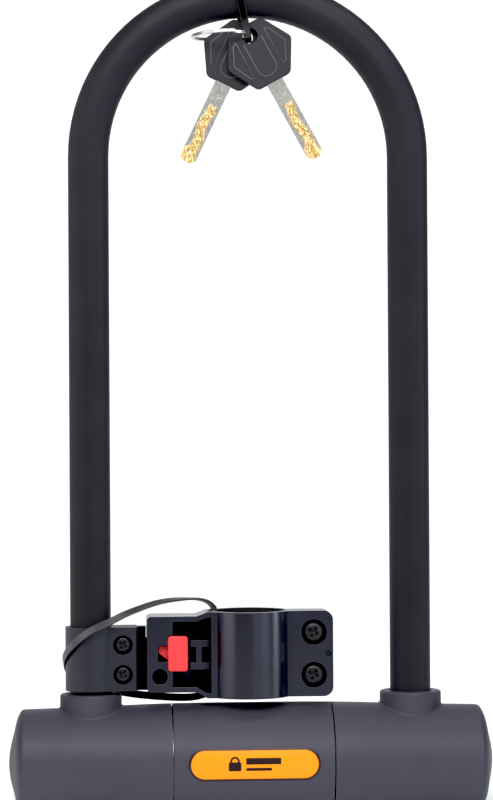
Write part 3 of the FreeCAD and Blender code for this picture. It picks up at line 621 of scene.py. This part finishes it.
def split_ring():
    """Two close turns of flat wire."""
    turns = 2.0
    steps = 240
    start = math.radians(-63.0)
    pitch = 0.50 * MM
    half_w = 0.62 * MM
    half_t = 0.40 * MM
    spec = joint("ring_turn")
    axis = Vector(spec["axis"]).normalized()
    right = axis.cross(Vector((0, -1, 0))).normalized()
    if right.x < 0:
        right.negate()
    front = right.cross(axis).normalized()
    if front.y > 0:
        front.negate()
    centre = Vector(spec["pos_m"])
    line = []
    for i in range(steps + 1):
        turn = i / steps * turns
        a = start + turn * 2 * math.pi
        around = right * RING_R * math.cos(a) - front * RING_R * math.sin(a)
        line.append(centre + around + axis * (pitch * turn - pitch))
    wire = []
    for k in range(12):
        a = 2 * math.pi * k / 12
        u = math.copysign(abs(math.cos(a)) ** 0.6, math.cos(a))
        v = math.copysign(abs(math.sin(a)) ** 0.6, math.sin(a))
        wire.append((half_w * u, half_t * v))
    bm = bmesh.new()
    sweep(bm, line, lambda i, p: axis, lambda i: wire)
    piece("split_ring_wire", finish_mesh("split_ring_wire", bm, 60), "split_ring", "ring_wire",
          RING, "split_ring")


# ------------------------------------------------------------------ screws and spring
def lathe(profile, cx, cz, sides=40):
    """Solid turned about an axis along Y, from (radius, y) points that begin and end on it."""
    bm = bmesh.new()
    rings = []
    for r, y in profile:
        if r == 0.0:
            rings.append([bm.verts.new((cx, y, cz))])
            continue
        angles = [2 * math.pi * k / sides for k in range(sides)]
        rings.append([bm.verts.new((cx + r * math.cos(a), y, cz + r * math.sin(a)))
                      for a in angles])
    for a, b in zip(rings[:-1], rings[1:]):
        for k in range(sides):
            j = (k + 1) % sides
            if len(a) == 1:
                bm.faces.new((a[0], b[k], b[j]))
            elif len(b) == 1:
                bm.faces.new((a[k], b[0], a[j]))
            else:
                bm.faces.new((a[k], b[k], b[j], a[j]))
    return bm


def cross_wedges(cx, cz, radius, mouth_y, floor_y):
    """Two crossed wedges that narrow from the recess's mouth to its floor."""
    twist = 0.5                     # radians the cross is turned by
    mouth = (mouth_y, 0.66, 0.17)   # y, then arm and width as parts of the head's radius
    floor = (floor_y, 0.30, 0.10)
    bm = bmesh.new()
    for turn in (0.0, math.pi / 2):
        spin = Matrix.Translation((cx, 0, cz)) @ Matrix.Rotation(turn + twist, 4, "Y")
        corners = []
        for y, arm, wide in (mouth, floor):
            for sx, sz in ((-1, -1), (1, -1), (1, 1), (-1, 1)):
                corner = Vector((sx * arm * radius, y, sz * wide * radius))
                corners.append(bm.verts.new(spin @ corner))
        bm.faces.new(corners[:4])
        bm.faces.new(corners[4:])
        for k in range(4):
            j = (k + 1) % 4
            bm.faces.new((corners[k], corners[j], corners[4 + j], corners[4 + k]))
    return bm


def screw(node, body, shank):
    """Pan-head screw along Y with a deep cross recess, at the place of its CAD node."""
    low, high = (Vector(c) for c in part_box(node))
    radius = (high.x - low.x) / 2
    cx, cz = (low.x + high.x) / 2, (low.z + high.z) / 2
    tall = radius * 0.58
    point = 0.3 * MM
    dome = [(0.0, 0.0), (0.40, 0.015), (0.66, 0.06), (0.84, 0.16), (0.95, 0.32), (1.0, 0.52),
            (1.0, 0.98)]
    profile = [(r * radius, low.y + t * tall) for r, t in dome]
    profile += [(radius * 0.97, low.y + tall), (shank, low.y + tall), (shank, high.y - point)]
    profile += [(shank - point, high.y), (0.0, high.y)]
    solid_mesh = finish_mesh("screw_solid", lathe(profile, cx, cz), 30)
    wedges = cross_wedges(cx, cz, radius, low.y - 0.2 * MM, low.y + tall * 0.75)
    solid = bpy.data.objects.new("screw_solid", solid_mesh)
    cutter = bpy.data.objects.new("screw_cutter", finish_mesh("screw_cutter", wedges))
    for obj in (solid, cutter):
        bpy.context.scene.collection.objects.link(obj)
    cut = solid.modifiers.new("cross", "BOOLEAN")
    cut.operation = "DIFFERENCE"
    cut.solver = "EXACT"
    cut.use_self = True
    cut.object = cutter
    done = solid.evaluated_get(bpy.context.evaluated_depsgraph_get())
    mesh = bpy.data.meshes.new_from_object(done)
    mesh.name = node + "_head"
    for obj in (solid, cutter):
        bpy.data.objects.remove(obj)
    piece(node + "_head", mesh, body, "black_screws", SCREW, node)


def button_coil():
    """Spring behind the release button, built at its rest length; the real one shortens as the
    button is pressed.
    """
    wire = 0.22 * MM                # radius of the wire
    coils = 6
    per_coil = 24
    low, high = (Vector(c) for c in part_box("button_spring"))
    middle = (low + high) / 2
    radius = (high.z - low.z) / 2 - wire
    length = high.x - low.x
    steps = coils * per_coil
    line = []
    for i in range(steps + 1):
        a = 2 * math.pi * i / per_coil
        x = low.x + wire + (length - 2 * wire) * i / steps
        line.append(Vector((x, middle.y + radius * math.cos(a), middle.z + radius * math.sin(a))))
    ring = [(wire * math.cos(math.pi * k / 4), wire * math.sin(math.pi * k / 4))
            for k in range(8)]
    bm = bmesh.new()
    sweep(bm, line, lambda i, p: Vector((0, p.y - middle.y, p.z - middle.z)), lambda i: ring)
    coil = piece("button_coil", finish_mesh("button_coil", bm, 60), "bracket", "spring_steel",
                 SPRING, "button_spring")
    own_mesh(coil)


# ------------------------------------------------------------------ badge mark
def wrap_on_badge(bm, lift):
    """Bends flat (x, height) faces onto the badge and gives them thickness."""
    for h in [k * 0.4 * MM for k in range(-12, 13)]:
        bmesh.ops.bisect_plane(bm, geom=bm.verts[:] + bm.edges[:] + bm.faces[:],
                               plane_co=(0, 0, h), plane_no=(0, 0, 1))
    flat = bm.faces[:]
    grown = bmesh.ops.extrude_face_region(bm, geom=flat)
    outer = [v for v in grown["geom"] if isinstance(v, bmesh.types.BMVert)]
    chosen = set(outer)
    for vert in bm.verts:
        radius = BADGE_R + (lift if vert in chosen else -0.05 * MM)
        h = vert.co.z + BADGE_UP
        vert.co = Vector((vert.co.x, -math.sqrt(radius * radius - h * h), ZC + h))


def outline_face(bm, points):
    """One flat face through (x, height) points in millimetres."""
    bm.faces.new([bm.verts.new((x * MM, 0, h * MM)) for x, h in points])


def rounded_bar(x0, x1, h0, h1, radius):
    """Outline of a bar with round corners."""
    out = []
    for cx, ch, start in ((x1 - radius, h1 - radius, 0), (x0 + radius, h1 - radius, 90),
                          (x0 + radius, h0 + radius, 180), (x1 - radius, h0 + radius, 270)):
        for k in range(5):
            a = math.radians(start + 22.5 * k)
            out.append((cx + radius * math.cos(a), ch + radius * math.sin(a)))
    return out


def badge_mark():
    """Plain padlock pictogram and two bars."""
    lock_x = -7.3                   # middle of the padlock, in millimetres
    bow_h = 1.2                     # centre of its arch
    body_top = 0.9
    bm = bmesh.new()
    outline_face(bm, rounded_bar(-9.6, -5.0, -2.3, body_top, 0.5))
    arch = [math.radians(180 - 15 * k) for k in range(13)]
    outer = [(lock_x + 1.75 * math.cos(a), bow_h + 1.75 * math.sin(a)) for a in arch]
    inner = [(lock_x + 1.05 * math.cos(a), bow_h + 1.05 * math.sin(a)) for a in reversed(arch)]
    feet_right = [(-5.55, body_top), (-6.25, body_top)]
    outline_face(bm, [(-9.05, body_top)] + outer + feet_right + inner + [(-8.35, body_top)])
    outline_face(bm, rounded_bar(-3.2, 9.6, 0.1, 2.4, 0.35))
    outline_face(bm, rounded_bar(-3.2, 6.2, -2.2, -1.2, 0.3))
    wrap_on_badge(bm, 0.10 * MM)
    piece("badge_mark", finish_mesh("badge_mark", bm, 50), "crossbar", "badge_rim", MARK)


bracket_strap()
key_strap()
for key in KEY_TILT:
    key_ridges(key)
split_ring()
for level in ("lower", "upper"):
    screw("collar_screw_" + level, "collar", 1.5 * MM)
    screw("clamp_screw_" + level, "bracket", 2.0 * MM)
button_coil()
badge_mark()


# ------------------------------------------------------------------ light, floor, camera
def area_light(name, azimuth, elevation, distance, size, power, target=(0, 0, 0.13),
               colour=(1, 1, 1)):
    """Soft box that looks at a target; angles in degrees, lengths in metres, power in watts.

    Azimuth 0 is the camera's side, positive to the right.
    """
    a, e = math.radians(azimuth), math.radians(elevation)
    away = Vector((math.sin(a) * math.cos(e), -math.cos(a) * math.cos(e), math.sin(e)))
    data = bpy.data.lights.new(name, "AREA")
    data.shape = "RECTANGLE"
    data.size, data.size_y = size
    data.energy = power
    data.color = colour
    lamp = bpy.data.objects.new(name, data)
    lamp.location = Vector(target) + away * distance
    lamp.rotation_euler = (-away).to_track_quat("-Z", "Y").to_euler()
    bpy.context.scene.collection.objects.link(lamp)
    return lamp


def shade_from(lamp, *names):
    """Keeps a lamp off some CAD nodes, as a card beside the lamp would."""
    shaded = bpy.data.collections.new(lamp.name + "_shaded")
    for name in names:
        shaded.objects.link(NODES[name])
    for entry in shaded.collection_objects:
        entry.light_linking.link_state = "EXCLUDE"
    lamp.light_linking.receiver_collection = shaded


def floor_sheet():
    """Pale sweep: flat under the lock and curving up far behind it."""
    front_y, bend_y, step = -2.5, 1.0, 0.25
    radius, top_z = 0.8, 3.0
    bm = bmesh.new()
    rows = [(front_y + step * i, 0.0) for i in range(15)]
    for i in range(1, 13):
        a = math.pi / 2 * i / 12
        rows.append((bend_y + radius * math.sin(a), radius * (1 - math.cos(a))))
    rows.append((bend_y + radius, top_z))
    grid = [[bm.verts.new((x, y, z)) for x in (-3.0, -1.0, 1.0, 3.0)] for y, z in rows]
    for low, high in zip(grid[:-1], grid[1:]):
        for i in range(3):
            bm.faces.new((low[i], low[i + 1], high[i + 1], high[i])).smooth = True
    mesh = bpy.data.meshes.new("floor_sheet")
    bm.to_mesh(mesh)
    bm.free()
    floor = bpy.data.objects.new("floor_sheet", mesh)
    bpy.context.scene.collection.objects.link(floor)
    n = Nodes("pale_paper")
    n.link(n.ramp(n.noise(3.0), [(0.3, (0.90, 0.90, 0.90)), (0.7, (0.93, 0.93, 0.93))]),
           n.bsdf.inputs["Base Color"])
    n.set(Roughness=0.9, Specular_IOR_Level=0.1)
    n.bump([(n.noise(600.0), 0.05, 0.0001)])
    mesh.materials.append(n.mat)


floor_sheet()
SKY = (0.84, 0.93, 1.0)

# side boxes draw the highlights along the legs; those on the right are a little bluer
left_box = area_light("left_box", -60, 10, 0.80, (0.50, 1.0), 3.7)
left_rim = area_light("left_rim", -102, 8, 0.80, (0.35, 1.0), 2.6)
area_light("front_right_box", 20, 6, 1.30, (0.40, 0.9), 2.0, colour=SKY)
right_box = area_light("right_box", 44, 8, 0.95, (0.40, 1.0), 3.0, colour=SKY)
right_strip = area_light("right_strip", 78, 6, 0.90, (0.22, 1.0), 4.2, colour=SKY)
for lamp in (left_box, left_rim, right_box, right_strip):
    shade_from(lamp, *COVERS)

# the main light, a glint along the arch, and a wash that turns the sweep white
area_light("front_top_box", -6, 36, 1.1, (0.9, 0.4), 10.5)
area_light("arch_strip", 12, 65, 0.17, (0.36, 0.08), 0.45, (0.03, 0, 0.29))
area_light("back_wall_light", 0, 25.6, 1.39, (2.4, 0.6), 22.0, (0, 1.6, 0.35))

world = bpy.data.worlds.new("studio")
bpy.context.scene.world = world
world.use_nodes = True
background = world.node_tree.nodes["Background"]
background.inputs["Color"].default_value = (1, 1, 1, 1)
background.inputs["Strength"].default_value = 0.05

CAMERA_PLACE = (-0.0595, -1.0, ZC + 0.126)
CAMERA_AIM = (-0.0011, 0.0, ZC + 0.1341)
CAMERA_ROLL = -0.33                 # degrees
camera_data = bpy.data.cameras.new("camera")
camera_data.lens = 120.85
camera_data.sensor_width = 36.0
camera_data.clip_start = 0.01
camera = bpy.data.objects.new("camera", camera_data)
camera.location = CAMERA_PLACE
aim = Vector(CAMERA_AIM) - camera.location
level_turn = aim.to_track_quat("-Z", "Y").to_matrix()
turn = level_turn @ Matrix.Rotation(math.radians(CAMERA_ROLL), 3, "Z")
camera.rotation_euler = turn.to_euler()
bpy.context.scene.collection.objects.link(camera)
bpy.context.scene.camera = camera

view = bpy.context.scene.view_settings
view.view_transform = "Standard"
view.use_curve_mapping = True
view.curve_mapping.black_level = (0.016, 0.016, 0.016)
view.curve_mapping.update()
